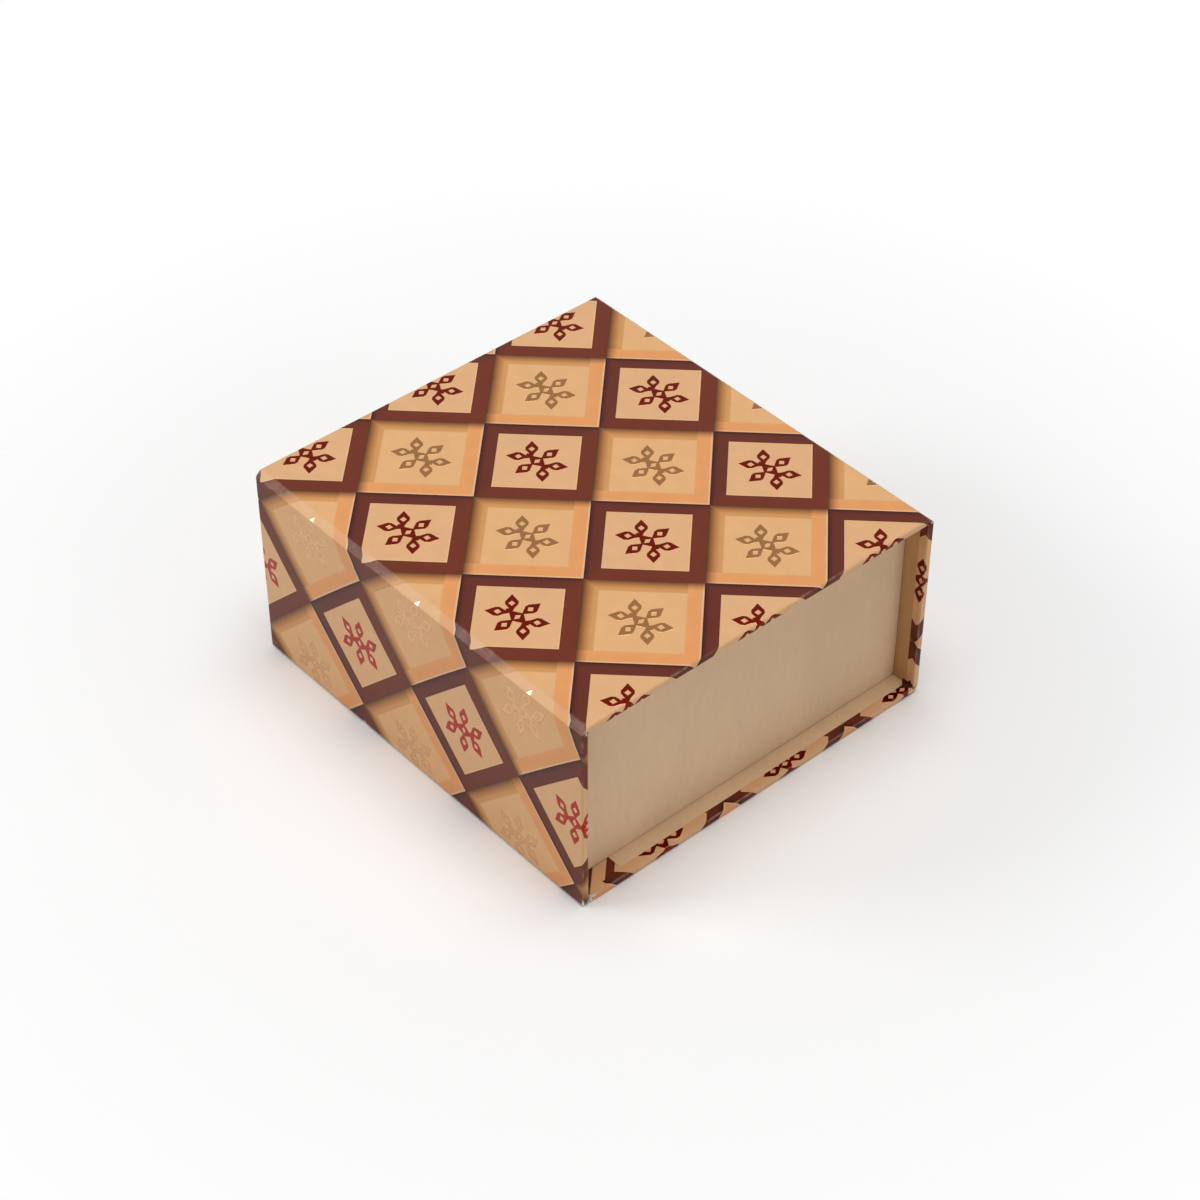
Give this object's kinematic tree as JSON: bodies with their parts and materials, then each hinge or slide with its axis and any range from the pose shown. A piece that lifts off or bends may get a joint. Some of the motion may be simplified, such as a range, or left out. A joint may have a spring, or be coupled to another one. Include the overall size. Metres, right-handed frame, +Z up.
{
  "type": "magnetic gift box",
  "caption": "Closed book-style gift box: patterned paper wraps the base, spine, lid and front flap round a lined tray, and hidden magnets hold the flap.",
  "frame": {"origin": "middle of the closed box's footprint, on the surface that it stands on", "axes": "+X along the folds to the right side, +Y from the flap to the spine, +Z up"},
  "size_m": [0.108, 0.1, 0.051],
  "materials": {
    "greyboard": "matte",
    "printed_paper": "satin",
    "liner_paper": "matte",
    "tray_paper": "matte",
    "magnet": "satin",
    "plate_steel": "satin"
  },
  "bodies": {
    "base": {"base_board": "greyboard", "base_wrap": "printed_paper", "base_liner": "liner_paper", "base_fold": "printed_paper", "base_fold_liner": "liner_paper", "spine_board": "greyboard", "spine_wrap": "printed_paper", "spine_liner": "liner_paper", "back_fold": "printed_paper", "back_fold_liner": "liner_paper", "tray_bottom": "greyboard", "tray_front": "greyboard", "tray_back": "greyboard", "tray_left": "greyboard", "tray_right": "greyboard", "tray_wrap": "tray_paper", "tray_lining": "tray_paper", "catch_plates": "plate_steel"},
    "lid": {"lid_board": "greyboard", "lid_wrap": "printed_paper", "lid_liner": "liner_paper", "front_fold": "printed_paper", "front_fold_liner": "liner_paper"},
    "flap": {"flap_board": "greyboard", "flap_wrap": "printed_paper", "flap_liner": "liner_paper", "flap_magnets": "magnet"}
  },
  "joints": [
    {"name": "lid_hinge", "type": "hinge", "parent": "base", "child": "lid", "pos_m": [0, 0.04905, 0.05005], "axis": [-1, 0, 0], "range_deg": [0, 180], "deforming": ["back_fold", "back_fold_liner"]},
    {"name": "flap_hinge", "type": "hinge", "parent": "lid", "child": "flap", "pos_m": [0, -0.04905, 0.05005], "axis": [-1, 0, 0], "range_deg": [0, 90], "deforming": ["front_fold", "front_fold_liner"]}
  ]
}
